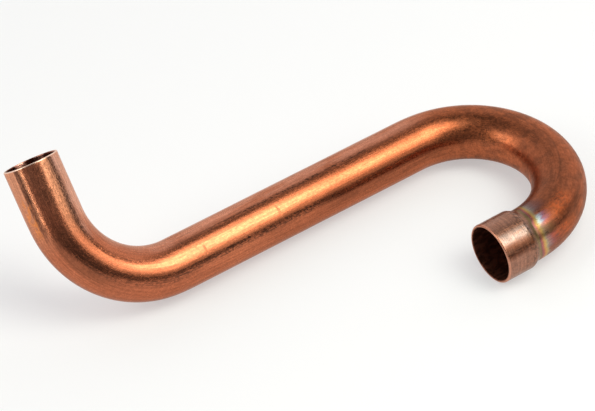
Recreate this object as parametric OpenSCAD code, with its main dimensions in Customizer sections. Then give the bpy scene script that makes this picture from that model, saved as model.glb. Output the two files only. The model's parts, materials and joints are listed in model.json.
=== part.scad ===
// Bent copper water tube: a plain spigot leg, an elbow bend, a straight run,
// a return bend, and an expanded socket that takes the end of a second tube.
// The origin is the middle of the socket's mouth. The straight run lies along X,
// and the return bend lies flat in the XY plane.

/* [Tube] */
// Outside diameter of the tube
tube_od = 22; // [15:1:28]
// Wall thickness of the tube
wall = 1.1; // [0.7:0.1:1.5]
// Radius of both bends, measured to the middle of the tube
bend_r = 36.5; // [34:0.5:80]

/* [Legs] */
// Length of the straight run between the two bends
run_length = 114; // [60:1:300]
// Length of the plain leg past the elbow bend
spigot_length = 24; // [15:1:80]
// Lean of the plain leg away from upright, on the side away from the socket
spigot_lean = 35; // [-60:1:80]
// Size of the deburred corner at the cut end of the plain leg
cut_chamfer = 0.2; // [0.1:0.05:0.3]

/* [Socket] */
// Depth of the socket from its mouth to where the flare starts
socket_depth = 12.5; // [8:0.5:20]
// Length of the flare between the return bend and the socket
flare_length = 4; // [3:0.5:8]
// Gap all round between the socket's bore and the tube that enters it
socket_gap = 0.2; // [0.1:0.05:0.3]
// Radius of the rounded outer corner of the socket's lip
lip_round = 0.6; // [0.3:0.05:0.65]

/* [Hidden] */
$fn = 96;

// Radii of the tube and of the socket
tube_r = tube_od / 2;
tube_bore_r = tube_r - wall;
socket_bore_r = tube_r + socket_gap;
socket_r = socket_bore_r + wall;

// Where the straight run starts and ends along X, and its distance from the socket's axis
run_end_x = socket_depth + flare_length;
run_start_x = run_end_x - run_length;
run_y = 2 * bend_r;

// Steps along the flare's curve
flare_steps = 10;

copper = "#c87b50";
annealed_copper = "#b5694a";
tinted_copper = "#a8707a";

// Radius along the flare, an S-curve from the tube (t = 0) to the socket (t = 1)
function flare_radius(from_r, to_r, t) = from_r + (to_r - from_r) * (1 - cos(180 * t)) / 2;

// Section of the tube's wall
module wall_ring() {
    difference() {
        circle(r = tube_r);
        circle(r = tube_bore_r);
    }
}

// Straight length of tube along +Z
module straight_tube(length) {
    linear_extrude(height = length) wall_ring();
}

// Bent length of tube, turning about the Z axis from the +X axis
module bent_tube(turn) {
    rotate_extrude(angle = turn) translate([bend_r, 0]) wall_ring();
}

// Frame of the elbow: its origin is the start of the run, and its +Z is the plain leg's direction
module elbow_frame() {
    translate([run_start_x, run_y, 0]) rotate([-spigot_lean, 0, 0]) children();
}

// Turns a profile of (radius, depth into the socket) about the socket's axis
module turned_on_socket_axis() {
    rotate([0, 90, 0]) rotate_extrude() children();
}

// Plain leg, cut square and deburred at its open end
module spigot_end() {
    color(copper) elbow_frame() translate([-bend_r, 0, bend_r]) rotate_extrude()
        polygon([
            [tube_bore_r, 0],
            [tube_r, 0],
            [tube_r, spigot_length - cut_chamfer],
            [tube_r - cut_chamfer, spigot_length],
            [tube_bore_r + cut_chamfer, spigot_length],
            [tube_bore_r, spigot_length - cut_chamfer]
        ]);
}

// Quarter turn between the run and the plain leg
module elbow_bend() {
    color(annealed_copper) elbow_frame() translate([0, 0, bend_r]) rotate([90, 180, 0]) bent_tube(90);
}

// Straight length between the two bends
module straight_run() {
    color(copper) translate([run_start_x, run_y, 0]) rotate([0, 90, 0]) straight_tube(run_length);
}

// Half turn that brings the tube back beside its own run
module return_bend() {
    color(annealed_copper) translate([run_end_x, bend_r, 0]) rotate([0, 0, -90]) bent_tube(180);
}

// Flare that opens the tube out to the socket, and stops the entering tube
module socket_flare() {
    outer = [for (i = [0 : flare_steps]) let (t = i / flare_steps)
        [flare_radius(tube_r, socket_r, t), run_end_x - flare_length * t]];
    inner = [for (i = [flare_steps : -1 : 0]) let (t = i / flare_steps)
        [flare_radius(tube_bore_r, socket_bore_r, t), run_end_x - flare_length * t]];
    color(tinted_copper) turned_on_socket_axis() polygon(concat(outer, inner));
}

// Expanded socket with a rounded lip
module socket_cup() {
    color(copper) turned_on_socket_axis() union() {
        translate([socket_bore_r, lip_round]) square([wall, socket_depth - lip_round]);
        translate([socket_bore_r, 0]) square([wall - lip_round, socket_depth]);
        translate([socket_r - lip_round, lip_round]) circle(r = lip_round);
    }
}

spigot_end();
elbow_bend();
straight_run();
return_bend();
socket_flare();
socket_cup();
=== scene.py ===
import json
import math

import bpy
import numpy as np
from mathutils import Matrix, Vector


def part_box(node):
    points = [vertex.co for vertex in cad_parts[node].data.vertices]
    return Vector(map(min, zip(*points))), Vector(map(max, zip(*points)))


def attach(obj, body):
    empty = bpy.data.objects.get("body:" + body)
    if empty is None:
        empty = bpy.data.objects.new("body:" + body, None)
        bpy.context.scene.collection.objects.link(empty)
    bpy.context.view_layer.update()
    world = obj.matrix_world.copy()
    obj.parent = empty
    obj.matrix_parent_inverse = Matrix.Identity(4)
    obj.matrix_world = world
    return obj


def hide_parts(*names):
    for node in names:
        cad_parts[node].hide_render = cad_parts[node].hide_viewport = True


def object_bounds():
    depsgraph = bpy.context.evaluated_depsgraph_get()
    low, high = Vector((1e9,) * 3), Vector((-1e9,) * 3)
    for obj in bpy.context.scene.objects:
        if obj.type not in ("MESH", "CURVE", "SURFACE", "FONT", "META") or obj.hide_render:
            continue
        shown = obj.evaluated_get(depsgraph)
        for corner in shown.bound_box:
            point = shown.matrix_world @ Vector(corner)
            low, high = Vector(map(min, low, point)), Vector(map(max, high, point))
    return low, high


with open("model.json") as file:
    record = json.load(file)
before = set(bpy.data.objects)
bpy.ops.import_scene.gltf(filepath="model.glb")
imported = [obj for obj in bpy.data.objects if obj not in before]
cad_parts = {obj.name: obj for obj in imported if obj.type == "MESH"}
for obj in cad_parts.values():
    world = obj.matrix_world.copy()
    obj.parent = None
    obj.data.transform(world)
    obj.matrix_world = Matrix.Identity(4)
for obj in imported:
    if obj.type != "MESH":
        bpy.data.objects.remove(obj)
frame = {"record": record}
cad_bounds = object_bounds()

# --------------------------------------------------------------------------------------
# Sizes in metres: the tube's radii come from the frame and the stretches' lengths from the CAD parts; the
# rest are given below.
# The tube is described by the distance along its middle line, from the plain end (0) to the socket's mouth,
# and by the angle around it.
# --------------------------------------------------------------------------------------
MM = 0.001
MOUNTS = {m["name"]: m for m in frame["record"]["mounts"]}


def mount_radius(name):
    return MOUNTS[name]["dims"]["r_mm"] * MM


RUN_LOW, RUN_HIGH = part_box("straight_run")
FLARE_LOW, FLARE_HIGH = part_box("socket_flare")
CUP_LOW, CUP_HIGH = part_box("socket_cup")

TUBE_R = mount_radius("spigot")
BORE_R = mount_radius("spigot_bore")
SOCKET_BORE_R = mount_radius("socket")
SOCKET_R = CUP_HIGH.z
RUN_Y = (RUN_LOW.y + RUN_HIGH.y) / 2
BEND_R = RUN_Y / 2

LEG_AXIS = Vector(MOUNTS["spigot"]["axis"]).normalized()
LEG_LENGTH = MOUNTS["spigot"]["dims"]["length_mm"] * MM
LEG_TOP = Vector(MOUNTS["spigot"]["pos_m"]) + LEG_AXIS * (LEG_LENGTH / 2)

# Each stretch of tube in order: CAD node, record slot, length, and the axis it turns about
RUN_AXIS = Vector((1, 0, 0))
ELBOW_AXIS = (-LEG_AXIS).cross(RUN_AXIS).normalized()
RETURN_AXIS = Vector((0, 0, -1))
STRETCHES = [
    ("spigot_end", "copper", LEG_LENGTH, None),
    ("elbow_bend", "annealed_copper", BEND_R * math.pi / 2, ELBOW_AXIS),
    ("straight_run", "copper", RUN_HIGH.x - RUN_LOW.x, None),
    ("return_bend", "annealed_copper", BEND_R * math.pi, RETURN_AXIS),
    ("socket_flare", "tinted_copper", FLARE_HIGH.x - FLARE_LOW.x, None),
    ("socket_cup", "copper", CUP_HIGH.x - CUP_LOW.x, None),
]
STARTS = dict(zip([s[0] for s in STRETCHES], np.cumsum([0.0] + [s[2] for s in STRETCHES[:-1]])))
LENGTHS = {s[0]: s[2] for s in STRETCHES}
TOTAL_LENGTH = sum(LENGTHS.values())
FLARE_START = STARTS["socket_flare"]
CUP_START = STARTS["socket_cup"]

# Rounding of the two open rims
PLAIN_LIP = 0.35 * MM
SOCKET_LIP = 0.6 * MM
SOCKET_INNER_LIP = 0.25 * MM

# Mesh density: points around the tube, and the distance between rings. Outer spans shorter than
# FINE_SPAN hold a mark or a rim and get the fine step.
AROUND = 192
OUTER_STEP = 0.6 * MM
FINE_STEP = 0.2 * MM
FINE_SPAN = 5 * MM
INNER_STEP = 2.5 * MM
LIP_STEPS = 6
SAME_PLACE = 1e-9

# Slow waves left in the wall by drawing and bending: whole turns around the tube, and wavelengths in mm
WAVE_DEPTH = 0.05 * MM
WAVE_COUNT = 9
WAVE_SEED = 11
WAVE_TURNS = (1, 8)
WAVE_LENGTHS = (14, 60)

# Flattening of each bend's outer side, and how it eases in at the bend's ends
BEND_FLATTENING = 0.16 * MM
BEND_EASE = 9 * MM

# The uneven surface starts this far from either rim, and is full after the clearance
RIM_START = 1 * MM
RIM_CLEARANCE = 3 * MM

# Crosswise marks of the bending die, in mm and degrees: (distance along, angle, half-length around, depth)
DIE_MARKS = [
    (126.2, 131, 15, 0.075),
    (104.5, 128, 8, 0.030),
    (91.5, 133, 13, 0.070),
    (88.6, 124, 9, 0.040),
    (84.5, 99, 9, 0.045),
    (83.2, 103, 6, 0.035),
]
MARK_WIDTH = 0.32 * MM
MARK_SPAN = 1.0 * MM

# A knock on the leg: (distance along, angle), radius and depth
KNOCK_PLACE = (24.9 * MM, math.radians(194))
KNOCK_RADIUS = 1.1 * MM
KNOCK_DEPTH = 0.06 * MM

# The hairline crease that the die left along the top of the return bend: (mm along, degrees around)
CREASE_PATH = [
    (229, 77), (236, 80), (243, 84.5), (249, 86), (255, 84.6),
    (262, 83.4), (268, 85.7), (276, 87), (286, 90), (292, 92),
]
CREASE_WIDTH = 0.30 * MM
CREASE_DEPTH = 0.07 * MM
CREASE_FADE = 8 * MM


def turtle_frames():
    """Start point and start frame (tangent, side, up) of each stretch, walking the middle line."""
    quarter = Matrix.Rotation(math.radians(-90), 3, ELBOW_AXIS)
    point = LEG_TOP.copy()
    tangent, side, up = -LEG_AXIS, quarter @ Vector((0, 1, 0)), quarter @ Vector((0, 0, 1))
    frames = {}
    for node, _slot, length, axis in STRETCHES:
        frames[node] = (point.copy(), tangent.copy(), side.copy(), up.copy())
        if axis is None:
            point = point + tangent * length
        else:
            turn = Matrix.Rotation(length / BEND_R, 3, axis)
            centre = point + axis.cross(tangent) * BEND_R
            point = centre + turn @ (point - centre)
            tangent, side, up = turn @ tangent, turn @ side, turn @ up
    return frames


FRAMES = turtle_frames()


def rotate_about(vector, axis, angle):
    """Rodrigues' rotation of one vector by an array of angles, as an array of vectors."""
    v, k = np.array(vector, float), np.array(axis, float)
    cos, sin = np.cos(angle)[:, None], np.sin(angle)[:, None]
    return v * cos + np.cross(k, v) * sin + k * (k @ v) * (1 - cos)


def middle_line(along):
    """Point, tangent, side and up vectors at each distance along the tube."""
    along = np.asarray(along, float)
    point = np.zeros((len(along), 3))
    tangent, side, up = point.copy(), point.copy(), point.copy()
    for index, (node, _slot, _length, axis) in enumerate(STRETCHES):
        low = STARTS[node] if index else -math.inf
        high = STARTS[STRETCHES[index + 1][0]] if index + 1 < len(STRETCHES) else math.inf
        here = (along >= low) & (along < high)
        step = along[here] - STARTS[node]
        start, t0, s0, u0 = (np.array(v, float) for v in FRAMES[node])
        if axis is None:
            point[here] = start + step[:, None] * t0
            tangent[here], side[here], up[here] = t0, s0, u0
        else:
            angle = step / BEND_R
            arm = np.cross(np.array(axis, float), t0) * BEND_R
            point[here] = start + arm + rotate_about(-arm, axis, angle)
            tangent[here] = rotate_about(t0, axis, angle)
            side[here] = rotate_about(s0, axis, angle)
            up[here] = rotate_about(u0, axis, angle)
    return point, tangent, side, up


# --------------------------------------------------------------------------------------
# Shape of the wall
# --------------------------------------------------------------------------------------
def ease(t):
    """The flare's S-curve, 0 to 1."""
    return (1 - np.cos(np.pi * np.clip(t, 0, 1))) / 2


def outer_radius(along):
    return TUBE_R + (SOCKET_R - TUBE_R) * ease((along - FLARE_START) / LENGTHS["socket_flare"])


def inner_radius(along):
    return BORE_R + (SOCKET_BORE_R - BORE_R) * ease((along - FLARE_START) / LENGTHS["socket_flare"])


def turned(angle, centre):
    """Signed difference of two angles, within half a turn."""
    return (angle - centre + math.pi) % (2 * math.pi) - math.pi


def slow_waves(along, angle):
    """Gentle unevenness of the wall, 0 to 1, periodic around the tube."""
    rng = np.random.default_rng(WAVE_SEED)
    total = np.zeros(np.broadcast(along, angle).shape)
    for _ in range(WAVE_COUNT):
        turns = rng.integers(*WAVE_TURNS)
        wavelength = rng.uniform(*WAVE_LENGTHS) * MM
        total += np.sin(turns * angle + 2 * math.pi * along / wavelength + rng.uniform(0, 2 * math.pi))
    return 0.5 + 0.5 * total / WAVE_COUNT


def bend_flattening(along, angle):
    """How far the outer side of each bend is drawn in, easing in and out at the bend's ends."""
    total = 0
    for node, _slot, length, axis in STRETCHES:
        if axis is None:
            continue
        _point, tangent, side, up = FRAMES[node]
        outward = -axis.cross(tangent)
        outer_angle = math.atan2(outward.dot(up), outward.dot(side))
        into = np.minimum(along - STARTS[node], STARTS[node] + length - along)
        share = ease((into + BEND_EASE / 2) / BEND_EASE)
        total = total + share * np.clip(np.cos(turned(angle, outer_angle)), 0, 1) ** 2
    return total


def marks(along, angle):
    """Depth of the die marks, the crease and the knock, in metres."""
    total = np.zeros(np.broadcast(along, angle).shape)
    for place, centre, half, depth in DIE_MARKS:
        across = (along - place * MM) / MARK_WIDTH
        around = turned(angle, math.radians(centre)) / math.radians(half)
        total += depth * MM * np.exp(-across**2) * np.clip(1 - around**2, 0, 1)
    path_along, path_angle = np.array(CREASE_PATH, float).T
    crease_angle = np.radians(np.interp(along, path_along * MM, path_angle))
    off_crease = turned(angle, crease_angle) * TUBE_R / CREASE_WIDTH
    first, last = path_along[0] * MM, path_along[-1] * MM
    ends = ease((along - first) / CREASE_FADE) * ease((last - along) / CREASE_FADE)
    total += CREASE_DEPTH * ends * np.exp(-off_crease**2)
    place, centre = KNOCK_PLACE
    away = ((along - place) ** 2 + (turned(angle, centre) * TUBE_R) ** 2) / KNOCK_RADIUS**2
    return total + KNOCK_DEPTH * np.exp(-away)


def relief(along, angle):
    """How far the outside lies below the true round tube, fading out at both rims."""
    rim = np.minimum(along, TOTAL_LENGTH - along)
    shape = WAVE_DEPTH * slow_waves(along, angle) + BEND_FLATTENING * bend_flattening(along, angle)
    return ease((rim - RIM_START) / RIM_CLEARANCE) * (shape + marks(along, angle))


def profile():
    """The wall's closed outline as (along, radius, is outer) rows: outside, socket lip, bore, plain lip."""
    fine = [place * MM + end for place, *_rest in DIE_MARKS for end in (-MARK_SPAN, MARK_SPAN)]
    fine += [KNOCK_PLACE[0] + MARK_SPAN, PLAIN_LIP + MARK_SPAN]
    stops = sorted(set([PLAIN_LIP, TOTAL_LENGTH - SOCKET_LIP] + list(STARTS.values())[1:] + fine))
    outer = [stops[0]]
    for low, high in zip(stops[:-1], stops[1:]):
        step = OUTER_STEP if high - low > FINE_SPAN else FINE_STEP
        count = max(2, math.ceil((high - low) / step))
        outer += list(np.linspace(low, high, count + 1)[1:])
    inner = [TOTAL_LENGTH - SOCKET_INNER_LIP]
    back = sorted(set([PLAIN_LIP, inner[0]] + list(STARTS.values())[1:]), reverse=True)
    for high, low in zip(back[:-1], back[1:]):
        count = max(3, math.ceil((high - low) / INNER_STEP))
        inner += list(np.linspace(high, low, count + 1)[1:])

    rows = [(a, outer_radius(a), 1.0) for a in outer]
    for i in range(1, LIP_STEPS + 1):
        turn = math.pi / 2 * i / LIP_STEPS
        rows.append((TOTAL_LENGTH - SOCKET_LIP * (1 - math.sin(turn)),
                     SOCKET_R - SOCKET_LIP * (1 - math.cos(turn)), 1.0))
    for i in range(LIP_STEPS):
        turn = math.pi / 2 * i / LIP_STEPS
        rows.append((TOTAL_LENGTH - SOCKET_INNER_LIP * (1 - math.cos(turn)),
                     SOCKET_BORE_R + SOCKET_INNER_LIP * (1 - math.sin(turn)), 0.0))
    rows += [(a, inner_radius(a), 0.0) for a in inner]
    for i in range(1, LIP_STEPS + 1):
        turn = math.pi / 2 * i / LIP_STEPS
        rows.append((PLAIN_LIP * (1 - math.sin(turn)), BORE_R + PLAIN_LIP * (1 - math.cos(turn)), 0.0))
    for i in range(LIP_STEPS):
        turn = math.pi / 2 * i / LIP_STEPS
        rows.append((PLAIN_LIP * (1 - math.cos(turn)), TUBE_R - PLAIN_LIP * (1 - math.sin(turn)), 1.0))
    return np.array(rows)


def wall_grid():
    """Points, normals and (along, radius, is outer) of the whole wall, as profile rows by angles around."""
    rows = profile()
    angle = np.arange(AROUND) * 2 * math.pi / AROUND
    point, tangent, side, up = middle_line(rows[:, 0])
    is_outer = rows[:, 2][:, None]
    radius = rows[:, 1][:, None] - is_outer * relief(rows[:, 0][:, None], angle[None])
    ring = side[:, None] * np.cos(angle)[None, :, None] + up[:, None] * np.sin(angle)[None, :, None]
    points = point[:, None] + ring * radius[:, :, None]
    by_row = np.roll(points, -1, 0) - np.roll(points, 1, 0)
    by_angle = np.roll(points, -1, 1) - np.roll(points, 1, 1)
    normals = np.cross(by_angle, by_row)
    normals /= np.linalg.norm(normals, axis=2)[:, :, None]
    return rows, angle, points, normals


ROWS, ANGLES, POINTS, NORMALS = wall_grid()


def piece_rows(node):
    """The profile rows of one stretch in outline order, its outer rows first and then its inner rows."""
    low, high = STARTS[node], STARTS[node] + LENGTHS[node]
    along, is_outer = ROWS[:, 0], ROWS[:, 2] > 0.5
    inside = (along > low - SAME_PLACE) & (along < high + SAME_PLACE)
    index = np.arange(len(ROWS))
    outer, inner = index[inside & is_outer], index[inside & ~is_outer]
    if node == STRETCHES[0][0]:
        wrapped = outer[outer > len(ROWS) // 2]
        outer = np.concatenate([wrapped, outer[outer <= len(ROWS) // 2]])
    return np.concatenate([outer, inner])


def tube_piece(node, material):
    """One stretch of the wall as a closed mesh, with the normals of the whole tube so no seam shows."""
    rows = piece_rows(node)
    count = len(rows)
    points, normals = POINTS[rows].reshape(-1, 3), NORMALS[rows].reshape(-1, 3)
    faces = []
    for i in range(count):
        below, above = i * AROUND, (i + 1) % count * AROUND
        for j in range(AROUND):
            k = (j + 1) % AROUND
            faces.append((below + j, below + k, above + k, above + j))
    mesh = bpy.data.meshes.new(node + "_wall")
    mesh.from_pydata(points.tolist(), [], faces)
    mesh.shade_smooth()

    along, radius = ROWS[rows, 0], ROWS[rows, 1]
    place = np.zeros((count, AROUND, 3))
    place[..., 0] = along[:, None]
    place[..., 1] = radius[:, None] * np.cos(ANGLES)
    place[..., 2] = radius[:, None] * np.sin(ANGLES)
    mesh.attributes.new("tube_place", "FLOAT_VECTOR", "POINT").data.foreach_set("vector", place.ravel())
    outer = np.repeat(ROWS[rows, 2], AROUND)
    mesh.attributes.new("outer_side", "FLOAT", "POINT").data.foreach_set("value", outer)
    # Darker in the die marks, the crease and the knock, in step with their depth
    mark_darkness = np.clip(marks(along[:, None], ANGLES[None]) / CREASE_DEPTH, 0, 1).ravel() * outer
    mesh.attributes.new("mark_darkening", "FLOAT", "POINT").data.foreach_set("value", mark_darkness)
    mesh.normals_split_custom_set_from_vertices(normals.tolist())
    mesh.materials.append(material)

    piece = bpy.data.objects.new(node + "_tube", mesh)
    bpy.context.scene.collection.objects.link(piece)
    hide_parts(node)
    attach(piece, "root")
    return piece


# --------------------------------------------------------------------------------------
# Materials: one worn copper surface whose tone follows the distance along the tube, so that
# neighbouring stretches meet without a seam. Colours are linear, distances are millimetres
# along the tube, and angles are degrees around it.
# --------------------------------------------------------------------------------------
# Clean tone of the metal along the tube: (distance, colour)
BASE_TONES = [
    (0, (0.66, 0.28, 0.160)),
    (20, (0.61, 0.24, 0.130)),
    (34, (0.47, 0.140, 0.066)),
    (70, (0.45, 0.130, 0.060)),
    (105, (0.50, 0.150, 0.069)),
    (150, (0.43, 0.120, 0.052)),
    (195, (0.42, 0.116, 0.049)),
    (214, (0.38, 0.105, 0.043)),
    (245, (0.41, 0.115, 0.048)),
    (285, (0.36, 0.100, 0.043)),
    (298, (0.37, 0.095, 0.034)),
    (308, (0.33, 0.095, 0.045)),
    (311, (0.32, 0.145, 0.090)),
    (326.5, (0.33, 0.145, 0.090)),
]
# Dulling of the surface along the tube: (distance, roughness)
ROUGHNESS_LEVELS = [
    (0, 0.22), (24, 0.22), (40, 0.20), (195, 0.24), (220, 0.30),
    (245, 0.29), (270, 0.38), (296, 0.34), (312, 0.30), (326.5, 0.27),
]
# Thin film of oxide and flux over the metal: (distance, coat weight)
FILM_WEIGHTS = [(0, 0.12), (190, 0.04), (240, 0.05), (290, 0.07), (308, 0.12), (313, 0.38), (326.5, 0.42)]
FILM_IOR = 1.6
FILM_ROUGHNESS = 0.26
EDGE_TINT = (0.86, 0.72, 0.64, 1)

# Oxide colours left by the brazing flame, front to back: (distance before the flare, colour, cover)
HEAT_LINE = [
    (-2.2, (0.26, 0.150, 0.085), 0.0),
    (-1.2, (0.24, 0.165, 0.075), 0.65),
    (-0.3, (0.22, 0.180, 0.080), 0.85),
    (0.2, (0.26, 0.120, 0.100), 0.9),
    (0.6, (0.42, 0.120, 0.120), 0.95),
    (1.0, (0.50, 0.190, 0.095), 1.0),
    (1.5, (0.60, 0.330, 0.110), 1.0),
    (2.0, (0.56, 0.390, 0.150), 0.9),
    (2.6, (0.42, 0.370, 0.240), 0.45),
    (3.2, (0.30, 0.260, 0.230), 0.0),
]
# Where the flame was hottest, silver fades through blue and violet into red
HEAT_BLOOM = [
    (1.5, (0.50, 0.400, 0.190), 0.0),
    (2.1, (0.46, 0.430, 0.260), 0.95),
    (2.7, (0.42, 0.460, 0.410), 1.0),
    (3.4, (0.33, 0.390, 0.420), 1.0),
    (4.2, (0.22, 0.230, 0.300), 1.0),
    (5.0, (0.20, 0.110, 0.175), 0.9),
    (6.2, (0.23, 0.090, 0.115), 0.8),
    (8.5, (0.27, 0.085, 0.055), 0.55),
    (11.0, (0.30, 0.090, 0.040), 0.0),
]
# Elsewhere a dull grey-violet haze fades into brown
HEAT_HAZE = [
    (1.4, (0.38, 0.320, 0.200), 0.0),
    (2.2, (0.30, 0.260, 0.190), 0.7),
    (3.2, (0.20, 0.165, 0.150), 0.9),
    (4.8, (0.14, 0.093, 0.097), 0.8),
    (7.5, (0.12, 0.056, 0.054), 0.65),
    (12.0, (0.15, 0.052, 0.038), 0.0),
]
# Where bloom and haze lie around the tube: (angle, half-width, strength)
BLOOM_SPOTS = [(64, 13, 0.95), (42, 22, 0.22), (12, 18, 0.30)]
HAZE_SPOTS = [(104, 30, 1.0), (-16, 34, 0.42), (150, 40, 0.5)]
# The front lies further back over the top, and soot dims it in places: (angle, half-width, amount)
FRONT_BACK = (102, 50, 0.9)
FRONT_SOOT = [(58, 20, 0.52), (104, 42, 0.36)]
# The front wavers around the tube, and frays more with distance: (from, to, least, most)
FRONT_WAVER = 2.8
FRONT_FRAY = 1.5
FRAY_GROWTH = (1.0, 5.0, 0.3, 2.6)

# Brown of the patina, also used as painted shade in some of the patina bands
PATINA_AND_SHADE_BROWN = (0.175, 0.056, 0.027)
# Pale pink of the painted sheen, a painted reflection of the white wall
PAINTED_SHEEN_PINK = (0.78, 0.42, 0.305)
COPPER_RED = (0.66, 0.185, 0.090)
# Near-black of the tarnish, used mostly as painted shade
TARNISH_AND_SHADE_DARK = (0.090, 0.034, 0.020)
ORANGE_STAIN = (0.80, 0.250, 0.060)
SMEAR_RED = (0.58, 0.115, 0.034)
KNUCKLE_GRIME = (0.105, 0.052, 0.032)
# Dark olive of the painted shade over the heat colours
OLIVE_PAINTED_SHADE = (0.165, 0.090, 0.030)
# Pale grey of the painted highlight on the cup
CUP_PAINTED_HIGHLIGHT = (0.22, 0.185, 0.175)
# Dark brown of the painted shade on the cup
CUP_PAINTED_SHADE = (0.17, 0.045, 0.015)
SOCKET_RIM = (0.52, 0.220, 0.135)
PLAIN_RIM = (0.95, 0.66, 0.52)
BORE_BROWN = (0.190, 0.070, 0.044)
BORE_NEAR_END = (0.12, 0.034, 0.022)
BORE_STREAK = (0.66, 0.32, 0.25)

# Zones of the outside, each softened over some millimetres: (from, to, angle, half-width, strength).
# A zone that starts below 0 runs out over the plain end.
# Painted sheen: pale pink laid on the side of the tube that faces the white wall, standing in for the wall's
# grazing reflection
PAINTED_SHEEN_BANDS = [
    (-8, 34, 93, 42, 0.66),
    (34, 200, 68, 40, 0.30),
]
RED_BANDS = [(-8, 32, 168, 26, 0.75)]
# Brown patina, and painted shade in the entries at 200° on the leg, 174° on the elbow, 186° and 170° on the
# run's lower flank and 36° before the flare: there the brown stands in for reflections of the dark room and
# of the bends
PATINA_AND_SHADE_BANDS = [
    (-8, 26, 200, 7, 0.85),
    (26, 52, 174, 24, 0.70),
    (118, 146, 186, 40, 0.25),
    (146, 206, 170, 27, 0.50),
    (206, 232, 150, 60, 0.12),
    (250, 300, 112, 44, 0.40),
    (284, 310, 36, 13, 0.60),
    (284, 306, 126, 26, 0.45),
    (291, 307, 86, 26, 0.60),
]
# Dark speckled bands, mostly painted shade: the stripes and zones beside the highlights on the leg, the elbow
# and the run stand in for reflections of the dark room; the line at 99–102° along the run's highlight is
# partly a real dirt line and partly painted shade
TARNISH_AND_SHADE_BANDS = [
    (-8, 30, 157, 14, 0.42),
    (-8, 26, 139, 13, 0.42),
    (-8, 27, 200, 7, 0.85),
    (-8, 34, 123, 9, 0.70),
    (30, 84, 162, 14, 0.60),
    (75, 200, 102, 8, 0.25),
    (104, 172, 99, 4, 0.90),
    (78, 146, 157, 10, 0.85),
    (146, 200, 157, 10, 0.50),
    (200, 262, 100, 30, 0.32),
]
STAIN_BANDS = [(12, 26, 214, 15, 0.7)]
SMEAR_BANDS = [(290, 303, 62, 24, 0.45), (297, 307, 14, 18, 0.62)]
# Painted shade over the heat colours: a dark olive band below the highlight, standing in for the dark room's
# reflection
SHADE_BANDS = [(303, 314, 37, 14, 0.60)]
PAINTED_SHEEN_SOFT = 8
PATINA_SOFT = 9
TARNISH_SOFT = 8
STAIN_SOFT = 3
SMEAR_SOFT = 2.5
SHADE_SOFT = 2
SECTOR_CORE = 0.35

# Stretches along the tube: (from, to, softness)
BEYOND_MOUTH = 340
RETURN_PATINA_SPAN = (212, 302, 14)
CALM_SPAN = (208, BEYOND_MOUTH, 9)
CUP_SPAN = (CUP_START / MM - 1.5, BEYOND_MOUTH, 1.0)
SCUFF_SPAN = (311.5, 315.2, 1.2)
PITTED_SPAN = (311, 315.5, 1.2)
FRECKLES_END = (306, 311)

# Painted highlight and painted shade on the socket cup: a pale grey where the key softbox's highlight falls,
# to whiten it, and a dark brown below it, standing in for the dark room's reflection: (angle, half-width,
# strength)
CUP_PAINTED_HIGHLIGHT_ZONE = (56, 17, 0.60)
CUP_PAINTED_SHADE_ZONE = (33, 19, 0.80)
# Lighter streaks just inside the plain end: (angle, half-width)
BORE_STREAKS = [(7, 16), (318, 18), (60, 24)]

RETURN_PATINA_STRENGTH = 0.55
# Patina is a little thinner where the painted sheen is: (sheen from, sheen to, least, most)
THIN_PATINA = (0.3, 1.0, 0.75, 1.0)
CALM_STREAK_SHARE = 0.4
SCRATCH_GAIN = 1.5
SCRATCH_COVER = 0.45
SCUFF_COVER = 0.8
MARK_DARKENING_COVER = 0.4
SCRATCH_ROUGHNESS = 0.08

# Clean metal at the rims, by distance from the rim: (where it starts to show, where it is full)
SOCKET_RIM_FADE = (0.75, 0.45)
PLAIN_RIM_FADE = (0.45, 0.25)
# Inside the plain end: where the bore's brown and its dullness come in, and the roughness there
BORE_FADE = (1.0, 9.0)
BORE_ROUGHNESS = (2.0, 16.0, 0.22, 0.48)
# The outer_side attribute's step between the bore (0) and the outside (1)
OUTSIDE_STEP = (0.25, 0.75)

# Hairline scratches: their size, the angle around the tube where they are truest, their two families
# as (lean from the tube's own direction, seed), and the noise levels between which one appears
SCRATCH_LENGTH = 1.9 * MM
SCRATCH_WIDTH = 0.20 * MM
SCRATCH_ANGLE = 130
SCRATCH_FAMILIES = [(34, 23), (-52, 24)]
SCRATCH_STEP = (0.63, 0.70)

# Noise: (size along, size around, seed, detail), sizes in millimetres
GRAINS = {
    "front_waver": (60, 5.5, 8, 2),
    "front_fray": (3.5, 0.7, 9, 3),
    "draw_lines": (22, 0.50, 14, 2),
    "orange_peel": (0.75, 0.65, 15, 2),
    "dents": (4.0, 3.2, 16, 2),
    "turned_grooves": (0.42, 12, 18, 2),
}
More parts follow.
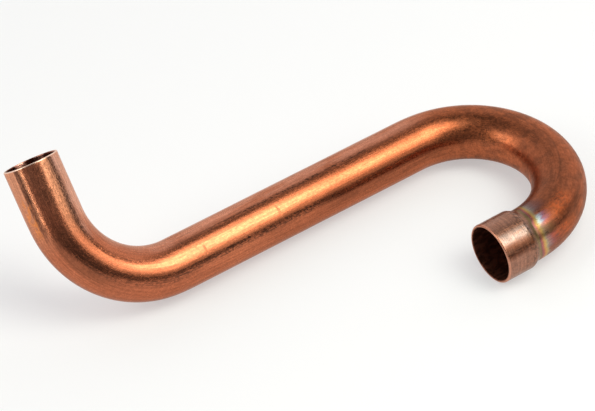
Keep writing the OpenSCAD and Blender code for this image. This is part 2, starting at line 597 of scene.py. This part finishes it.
# Noise turned into a level: (size along, size around, seed, detail, low, high, bottom, top). The level
# goes from bottom to top as the noise goes from low to high.
CLOUDS = {
    "painted_sheen": (12, 4, 1, 2, 0.30, 0.62, 0.3, 1.0),
    "patina": (7, 4.5, 2, 4, 0.44, 0.60, 0.0, 1.0),
    "draw_streaks": (16, 0.5, 3, 3, 0.34, 0.66, 0.80, 1.13),
    "freckles": (2.6, 1.9, 27, 4, 0.36, 0.64, 0.88, 1.10),
    "mottle": (0.9, 0.8, 4, 3, 0.36, 0.64, 0.88, 1.08),
    "tarnish_dots": (1.1, 0.55, 5, 3, 0.48, 0.60, 0.0, 1.0),
    "tarnish_dashes": (4.5, 0.38, 21, 3, 0.52, 0.62, 0.0, 1.0),
    "stain": (3.4, 1.3, 6, 3, 0.44, 0.60, 0.0, 1.0),
    "smears": (1.5, 0.7, 7, 4, 0.42, 0.62, 0.0, 1.0),
    "cup_zones": (5, 1.2, 26, 2, 0.34, 0.56, 0.55, 1.0),
    "turned_lines": (0.34, 9, 10, 2, 0.34, 0.66, 0.78, 1.16),
    "scuffs": (0.8, 1.6, 11, 3, 0.46, 0.58, 0.0, 1.0),
    "bore": (3.0, 1.6, 12, 3, 0.35, 0.65, 0.6, 1.5),
    "dull_grain": (1.5, 0.6, 13, 3, 0.34, 0.66, 0.82, 1.30),
    "film": (5, 2.5, 20, 3, 0.35, 0.65, 0.7, 1.1),
    "pits": (0.9, 1.8, 19, 3, 0.45, 0.60, 0.0, 1.0),
}
# Heights of the fine surface texture, in micrometres
DRAW_LINE_HEIGHT = 7.0
ORANGE_PEEL_HEIGHT = 8.5
DENT_HEIGHT = 34.0
SCRATCH_HEIGHT = -5.0
GROOVE_HEIGHT = 16.0
PIT_HEIGHT = -22.0
MICROMETRE = 0.001 * MM
# Steps between the noise of one seed and the next, along and around the tube
SEED_SHIFT = (7.3, 3.1, 5.7)
SCRATCH_SEED_SHIFT = 1.7


def add_node(tree, kind, inputs, **settings):
    """A new shader node, with each input linked to a socket or set to a value."""
    node = tree.nodes.new(kind)
    for key, value in settings.items():
        setattr(node, key, value)
    for key, value in inputs.items():
        if isinstance(value, bpy.types.NodeSocket):
            tree.links.new(value, node.inputs[key])
        else:
            node.inputs[key].default_value = value
    return node


class Surface:
    """The shader nodes of one material, with a short call for each kind of node used here."""

    def __init__(self, name):
        self.material = bpy.data.materials.new(name)
        self.material.use_nodes = True
        self.tree = self.material.node_tree
        self.shader = self.tree.nodes["Principled BSDF"]
        self.place = self.attribute("tube_place", "Vector")
        self.outside = self.attribute("outer_side", "Fac")
        self.mark_darkness = self.attribute("mark_darkening", "Fac")
        split = self.add("ShaderNodeSeparateXYZ", {0: self.place})
        self.along = self.math("MULTIPLY", split.outputs["X"], 1 / MM)
        across = self.vector("MULTIPLY", self.place, (0, 1, 1))
        self.ring = self.vector("NORMALIZE", across)
        self.scratches = self.math("MAXIMUM", *(self.scratch(*family) for family in SCRATCH_FAMILIES))

    def add(self, kind, inputs, **settings):
        return add_node(self.tree, kind, inputs, **settings)

    def attribute(self, name, output):
        return self.add("ShaderNodeAttribute", {}, attribute_name=name).outputs[output]

    def math(self, operation, first, second):
        return self.add("ShaderNodeMath", {0: first, 1: second}, operation=operation).outputs[0]

    def vector(self, operation, first, second=(0, 0, 0)):
        node = self.add("ShaderNodeVectorMath", {0: first, 1: second}, operation=operation)
        return node.outputs["Value" if operation == "DOT_PRODUCT" else "Vector"]

    def times(self, *values):
        product = values[0]
        for value in values[1:]:
            product = self.math("MULTIPLY", product, value)
        return product

    def rise(self, value, low, high, bottom=0.0, top=1.0):
        """Smooth step of a value from bottom to top as it goes from low to high."""
        inputs = {"Value": value, "From Min": low, "From Max": high, "To Min": bottom, "To Max": top}
        return self.add("ShaderNodeMapRange", inputs, interpolation_type="SMOOTHSTEP").outputs["Result"]

    def noise(self, along_size, ring_size, seed, detail):
        """Cloudy value around 0.5 whose grain has these sizes along and around the tube, in millimetres."""
        grain = (1 / (along_size * MM), 1 / (ring_size * MM), 1 / (ring_size * MM))
        stretched = self.vector("MULTIPLY", self.place, grain)
        shifted = self.vector("ADD", stretched, tuple(seed * step for step in SEED_SHIFT))
        noise = self.add("ShaderNodeTexNoise", {"Vector": shifted, "Scale": 1.0, "Detail": detail})
        return noise.outputs["Fac"]

    def grain(self, name):
        return self.noise(*GRAINS[name])

    def cloud(self, name):
        *grain, low, high, bottom, top = CLOUDS[name]
        return self.rise(self.noise(*grain), low, high, bottom, top)

    def scratch(self, lean, seed):
        """Short hairline scratches that lean by some degrees from the tube's own direction."""
        a, lean = math.radians(SCRATCH_ANGLE), math.radians(lean)
        around = (0, -math.sin(a), math.cos(a))
        length_way = (math.cos(lean), math.sin(lean) * around[1], math.sin(lean) * around[2])
        width_way = (-math.sin(lean), math.cos(lean) * around[1], math.cos(lean) * around[2])
        length_place = self.math("DIVIDE", self.vector("DOT_PRODUCT", self.place, length_way), SCRATCH_LENGTH)
        width_place = self.math("DIVIDE", self.vector("DOT_PRODUCT", self.place, width_way), SCRATCH_WIDTH)
        axes = {"X": length_place, "Y": width_place, "Z": seed * SCRATCH_SEED_SHIFT}
        place = self.add("ShaderNodeCombineXYZ", axes)
        noise = self.add("ShaderNodeTexNoise", {"Vector": place.outputs[0], "Scale": 1.0, "Detail": 1.0})
        return self.rise(noise.outputs["Fac"], *SCRATCH_STEP)

    def ramp(self, value, stops):
        """Colour and cover along a value; each stop is (position, colour) or (position, colour, cover)."""
        low, high = stops[0][0], stops[-1][0]
        share = self.add("ShaderNodeMapRange", {"Value": value, "From Min": low, "From Max": high})
        node = self.add("ShaderNodeValToRGB", {"Fac": share.outputs["Result"]})
        elements = node.color_ramp.elements
        while len(elements) < len(stops):
            elements.new(0.5)
        for element, (position, *_rest) in zip(elements, stops):
            element.position = (position - low) / (high - low)
        for element, (_position, colour, *cover) in zip(elements, stops):
            element.color = (*colour, cover[0] if cover else 1.0)
        return node.outputs["Color"], node.outputs["Alpha"]

    def level(self, stops):
        """A plain number along the tube, from (distance, number) stops."""
        value, _ = self.ramp(self.along, [(place, (number,) * 3) for place, number in stops])
        return value

    def blend(self, cover, below, above):
        inputs = {"Factor": cover, 6: (*below, 1) if isinstance(below, tuple) else below,
                  7: (*above, 1) if isinstance(above, tuple) else above}
        return self.add("ShaderNodeMix", inputs, data_type="RGBA").outputs[2]

    def shade(self, colour, level):
        scaled = self.add("ShaderNodeVectorMath", {0: colour, "Scale": level}, operation="SCALE")
        return scaled.outputs["Vector"]

    def window(self, low, high, soft):
        """1 between two distances along the tube in millimetres, fading over soft millimetres."""
        start = self.rise(self.along, low - soft, low + soft)
        end = self.rise(self.along, high - soft, high + soft, 1.0, 0.0)
        return self.times(start, end)

    def sector(self, angle, half):
        """1 at an angle around the tube, fading to 0 at half degrees to either side."""
        a = math.radians(angle)
        facing = self.vector("DOT_PRODUCT", self.ring, (0, math.cos(a), math.sin(a)))
        return self.rise(facing, math.cos(math.radians(half)), math.cos(math.radians(half * SECTOR_CORE)))

    def paint(self, colour, tone, bands, soft, cover):
        """A tone laid over each zone of a list, as thick as the cover says."""
        for low, high, angle, half, strength in bands:
            zone = self.times(self.window(low, high, soft), self.sector(angle, half), cover, strength)
            colour = self.blend(zone, colour, tone)
        return colour


def copper_tone(s):
    """Base colour: tone along the tube, painted sheen, patina and painted shade, streaks, tarnish and painted
    shade, stains, heat colours and clean rims.
    """
    colour, _ = s.ramp(s.along, BASE_TONES)
    # Painted sheen on the side towards the white wall, in cloudy patches
    painted_sheen = s.cloud("painted_sheen")
    colour = s.paint(colour, PAINTED_SHEEN_PINK, PAINTED_SHEEN_BANDS, PAINTED_SHEEN_SOFT, painted_sheen)
    thin = s.rise(painted_sheen, *THIN_PATINA)
    colour = s.paint(colour, COPPER_RED, RED_BANDS, PATINA_SOFT, thin)
    # Patina bands, some of them painted shade
    colour = s.paint(colour, PATINA_AND_SHADE_BROWN, PATINA_AND_SHADE_BANDS, PATINA_SOFT, thin)
    on_return = s.times(s.cloud("patina"), s.window(*RETURN_PATINA_SPAN), RETURN_PATINA_STRENGTH)
    colour = s.blend(on_return, colour, PATINA_AND_SHADE_BROWN)

    calm = s.window(*CALM_SPAN)
    streak_share = s.rise(calm, 0.0, 1.0, 1.0, CALM_STREAK_SHARE)
    colour = s.blend(streak_share, colour, s.shade(colour, s.cloud("draw_streaks")))
    freckle_share = s.times(calm, s.rise(s.along, *FRECKLES_END, 1.0, 0.0))
    colour = s.blend(freckle_share, colour, s.shade(colour, s.cloud("freckles")))
    colour = s.shade(colour, s.cloud("mottle"))

    # Speckled dark bands, mostly painted shade beside the highlights
    speckle = s.math("MAXIMUM", s.cloud("tarnish_dots"), s.cloud("tarnish_dashes"))
    colour = s.paint(colour, TARNISH_AND_SHADE_DARK, TARNISH_AND_SHADE_BANDS, TARNISH_SOFT, speckle)
    colour = s.paint(colour, ORANGE_STAIN, STAIN_BANDS, STAIN_SOFT, s.cloud("stain"))
    colour = s.blend(s.times(s.scratches, SCRATCH_COVER), colour, s.shade(colour, SCRATCH_GAIN))
    colour = s.paint(colour, SMEAR_RED, SMEAR_BANDS, SMEAR_SOFT, s.cloud("smears"))
    colour = heat_colours(s, colour)
    colour = cup_tone(s, colour)
    # The die marks, the crease and the knock are darker in step with their depth
    colour = s.blend(s.times(s.mark_darkness, MARK_DARKENING_COVER), colour, TARNISH_AND_SHADE_DARK)
    return bore_tone(s, rim_tone(s, colour))


def heat_colours(s, colour):
    """The flame's oxide colours, whose front wavers around the tube and frays along the draw lines, with a
    band of painted shade laid over them.
    """
    before = s.math("SUBTRACT", FLARE_START / MM, s.along)
    angle, half, amount = FRONT_BACK
    before = s.math("SUBTRACT", before, s.times(s.sector(angle, half), amount))
    waver = s.math("SUBTRACT", s.grain("front_waver"), 0.5)
    before = s.math("ADD", before, s.times(waver, FRONT_WAVER))
    fray = s.math("SUBTRACT", s.grain("front_fray"), 0.5)
    before = s.math("ADD", before, s.times(fray, FRONT_FRAY, s.rise(before, *FRAY_GROWTH)))
    for tints, spots in ((HEAT_HAZE, HAZE_SPOTS), (HEAT_BLOOM, BLOOM_SPOTS)):
        tint, cover = s.ramp(before, tints)
        for angle, half, strength in spots:
            colour = s.blend(s.times(cover, s.sector(angle, half), strength), colour, tint)
    tint, cover = s.ramp(before, HEAT_LINE)
    for angle, half, amount in FRONT_SOOT:
        tint = s.shade(tint, s.rise(s.sector(angle, half), 0.0, 1.0, 1.0, 1 - amount))
    colour = s.blend(cover, colour, tint)
    # Painted shade: the dark olive band below the highlight
    return s.paint(colour, OLIVE_PAINTED_SHADE, SHADE_BANDS, SHADE_SOFT, 1.0)


def cup_tone(s, colour):
    """Painted highlight and painted shade around the socket cup, fine turned lines, and dark scuffs on its
    knuckle.
    """
    on_cup = s.window(*CUP_SPAN)
    cloud = s.cloud("cup_zones")
    # A painted highlight where the key's reflection falls, and painted shade below it
    for tone, (angle, half, strength) in ((CUP_PAINTED_HIGHLIGHT, CUP_PAINTED_HIGHLIGHT_ZONE), (CUP_PAINTED_SHADE, CUP_PAINTED_SHADE_ZONE)):
        colour = s.blend(s.times(on_cup, s.sector(angle, half), cloud, strength), colour, tone)
    colour = s.blend(on_cup, colour, s.shade(colour, s.cloud("turned_lines")))
    scuffs = s.times(s.window(*SCUFF_SPAN), s.cloud("scuffs"), SCUFF_COVER)
    return s.blend(scuffs, colour, KNUCKLE_GRIME)


def rim_tone(s, colour):
    """Cleaner metal on the two rims."""
    start, full = (TOTAL_LENGTH / MM - distance for distance in SOCKET_RIM_FADE)
    colour = s.blend(s.rise(s.along, start, full), colour, SOCKET_RIM)
    return s.blend(s.rise(s.along, *PLAIN_RIM_FADE), colour, PLAIN_RIM)


def bore_tone(s, colour):
    """Dark oxide inside the tube, with lighter streaks just inside the plain end."""
    near = BORE_NEAR_END
    for angle, half in BORE_STREAKS:
        near = s.blend(s.sector(angle, half), near, BORE_STREAK)
    inside = s.blend(s.rise(s.along, *BORE_FADE), near, BORE_BROWN)
    inside = s.shade(inside, s.cloud("bore"))
    return s.blend(s.rise(s.outside, *OUTSIDE_STEP), inside, colour)


def copper_roughness(s):
    dulled = s.times(s.level(ROUGHNESS_LEVELS), s.cloud("dull_grain"))
    worn = s.math("ADD", dulled, s.times(s.scratches, SCRATCH_ROUGHNESS))
    bore = s.times(s.rise(s.along, *BORE_ROUGHNESS), s.rise(s.outside, *OUTSIDE_STEP, 1.0, 0.0))
    return s.math("MAXIMUM", worn, bore)


def film_weight(s):
    return s.times(s.level(FILM_WEIGHTS), s.cloud("film"), s.rise(s.outside, *OUTSIDE_STEP))


def copper_relief(s):
    """Height of the fine surface texture, in micrometres."""
    layers = [
        s.times(s.grain("draw_lines"), DRAW_LINE_HEIGHT),
        s.times(s.grain("orange_peel"), ORANGE_PEEL_HEIGHT),
        s.times(s.grain("dents"), DENT_HEIGHT),
        s.times(s.scratches, SCRATCH_HEIGHT),
        s.times(s.grain("turned_grooves"), s.window(*CUP_SPAN), GROOVE_HEIGHT),
        s.times(s.cloud("pits"), s.window(*PITTED_SPAN), PIT_HEIGHT),
    ]
    height = layers[0]
    for layer in layers[1:]:
        height = s.math("ADD", height, layer)
    return height


def copper_material(name):
    s = Surface(name)
    s.shader.inputs["Metallic"].default_value = 1.0
    s.shader.inputs["Specular Tint"].default_value = EDGE_TINT
    s.shader.inputs["Coat IOR"].default_value = FILM_IOR
    s.shader.inputs["Coat Roughness"].default_value = FILM_ROUGHNESS
    bump = s.add("ShaderNodeBump", {"Height": copper_relief(s), "Distance": MICROMETRE, "Strength": 1.0})
    s.tree.links.new(copper_tone(s), s.shader.inputs["Base Color"])
    s.tree.links.new(copper_roughness(s), s.shader.inputs["Roughness"])
    s.tree.links.new(film_weight(s), s.shader.inputs["Coat Weight"])
    s.tree.links.new(bump.outputs["Normal"], s.shader.inputs["Normal"])
    return s.material


MATERIALS = {name: copper_material(name) for name in ("copper", "annealed_copper", "tinted_copper")}
for NODE, SLOT, _length, _axis in STRETCHES:
    tube_piece(NODE, MATERIALS[SLOT])

# --------------------------------------------------------------------------------------
# Camera: the whole tube, seen from its socket side and above
# --------------------------------------------------------------------------------------
CAMERA_SENSOR = 36.0
CAMERA_LENS = 157.3
CAMERA_AZIMUTH = 210.93
CAMERA_ELEVATION = 39.91
CAMERA_ROLL = -5.9
CAMERA_DISTANCE = 1.0
CAMERA_REACH = 50.0
CAMERA_AIM = Vector((-10.5, 1.9, -4.5)) * MM
LOWEST, HIGHEST = (Vector(v) for v in cad_bounds)
CENTRE = (LOWEST + HIGHEST) / 2


def direction(azimuth, elevation):
    """Unit vector at an azimuth from +Y towards +X and an elevation above the floor, in degrees."""
    a, e = math.radians(azimuth), math.radians(elevation)
    return Vector((math.sin(a) * math.cos(e), math.cos(a) * math.cos(e), math.sin(e)))


def make_camera():
    data = bpy.data.cameras.new("camera")
    data.sensor_width = CAMERA_SENSOR
    data.lens = CAMERA_LENS
    data.clip_end = CAMERA_REACH
    camera = bpy.data.objects.new("camera", data)
    bpy.context.scene.collection.objects.link(camera)
    backward = direction(CAMERA_AZIMUTH, CAMERA_ELEVATION)
    level_up = (Vector((0, 0, 1)) - backward * backward.z).normalized()
    up = Matrix.Rotation(math.radians(CAMERA_ROLL), 3, backward) @ level_up
    camera.matrix_world = Matrix((up.cross(backward), up, backward)).transposed().to_4x4()
    camera.location = CENTRE + CAMERA_AIM + backward * CAMERA_DISTANCE
    bpy.context.scene.camera = camera


make_camera()

# --------------------------------------------------------------------------------------
# Studio: a pale floor, softboxes over the camera's right shoulder and to the left, and a room with
# one white wall behind the tube
# --------------------------------------------------------------------------------------
KEY_WARMTH = (1.0, 0.99, 0.84)
CORE_WARMTH = (0.94, 1.0, 0.90)
# (name, azimuth, elevation, distance, width, height, brightness, colour), in degrees and metres
SOFTBOXES = [
    ("key_softbox", 147, 57, 1.10, 0.80, 1.14, 2.8, KEY_WARMTH),
    ("key_core", 144, 54, 1.08, 0.36, 0.52, 4.0, CORE_WARMTH),
    ("key_skirt", 146, 22, 1.10, 0.70, 0.30, 0.9, KEY_WARMTH),
    ("left_softbox", -82, 31, 2.2, 0.95, 1.15, 3.1, KEY_WARMTH),
    ("left_strip", -109, 3.5, 2.2, 0.12, 0.5, 5.6, KEY_WARMTH),
]

# The white wall: its azimuth, how far past square on it fades, and the heights where it dims and ends
WALL_AZIMUTH = 8
WALL_EDGE = -0.28
WALL_DIMS_AT = 36
WALL_ENDS_AT = 76
WALL_LEVEL = 1.0
ROOM_LEVEL = 0.2

# The floor is a touch cool, so that it reads neutral under the warm softboxes
FLOOR_COLOUR = (0.50, 0.50, 0.53, 1)
FLOOR_HALF = 12.0
FLOOR_ROUGHNESS = 0.9
FLOOR_GLOW = 0.42


def area_light(name, azimuth, elevation, distance, width, height, brightness, colour):
    """Soft rectangular light that faces the tube, with its surface brightness."""
    data = bpy.data.lights.new(name, "AREA")
    data.shape = "RECTANGLE"
    data.size, data.size_y = width, height
    data.energy = brightness * math.pi * width * height
    data.color = colour
    light = bpy.data.objects.new(name, data)
    bpy.context.scene.collection.objects.link(light)
    toward = direction(azimuth, elevation)
    light.location = CENTRE + toward * distance
    light.rotation_euler = toward.to_track_quat("Z", "Y").to_euler()
    light.visible_camera = False


def studio_world():
    """A dim room with a white wall on one side, which dims towards the ceiling."""
    world = bpy.data.worlds.new("studio")
    bpy.context.scene.world = world
    world.use_nodes = True
    tree = world.node_tree
    background = tree.nodes["Background"]
    background.inputs["Color"].default_value = (1, 1, 1, 1)
    place = add_node(tree, "ShaderNodeTexCoord", {}).outputs["Generated"]
    split = add_node(tree, "ShaderNodeSeparateXYZ", {0: place})
    facing = add_node(tree, "ShaderNodeVectorMath", {0: place, 1: direction(WALL_AZIMUTH, 0)},
                      operation="DOT_PRODUCT")
    wall = add_node(tree, "ShaderNodeMapRange",
                    {"Value": facing.outputs["Value"], "From Min": WALL_EDGE, "From Max": 0.0},
                    interpolation_type="SMOOTHSTEP")
    height = add_node(tree, "ShaderNodeMapRange",
                      {"Value": split.outputs["Z"],
                       "From Min": math.sin(math.radians(WALL_DIMS_AT)),
                       "From Max": math.sin(math.radians(WALL_ENDS_AT)),
                       "To Min": 1.0, "To Max": 0.0},
                      interpolation_type="SMOOTHSTEP")
    both = add_node(tree, "ShaderNodeMath", {0: wall.outputs["Result"], 1: height.outputs["Result"]},
                    operation="MULTIPLY")
    level = add_node(tree, "ShaderNodeMapRange",
                     {"Value": both.outputs[0], "To Min": ROOM_LEVEL, "To Max": WALL_LEVEL})
    tree.links.new(level.outputs["Result"], background.inputs["Strength"])


def pale_floor():
    mesh = bpy.data.meshes.new("floor")
    x = y = FLOOR_HALF
    z = LOWEST.z
    mesh.from_pydata([(-x, -y, z), (x, -y, z), (x, y, z), (-x, y, z)], [], [(0, 1, 2, 3)])
    floor = bpy.data.objects.new("floor", mesh)
    bpy.context.scene.collection.objects.link(floor)
    material = bpy.data.materials.new("floor")
    material.use_nodes = True
    shader = material.node_tree.nodes["Principled BSDF"]
    shader.inputs["Base Color"].default_value = FLOOR_COLOUR
    shader.inputs["Roughness"].default_value = FLOOR_ROUGHNESS
    shader.inputs["Specular IOR Level"].default_value = 0.0
    shader.inputs["Emission Color"].default_value = (1, 1, 1, 1)
    shader.inputs["Emission Strength"].default_value = FLOOR_GLOW
    mesh.materials.append(material)


for SOFTBOX in SOFTBOXES:
    area_light(*SOFTBOX)
studio_world()
pale_floor()
bpy.context.scene.view_settings.view_transform = "Standard"
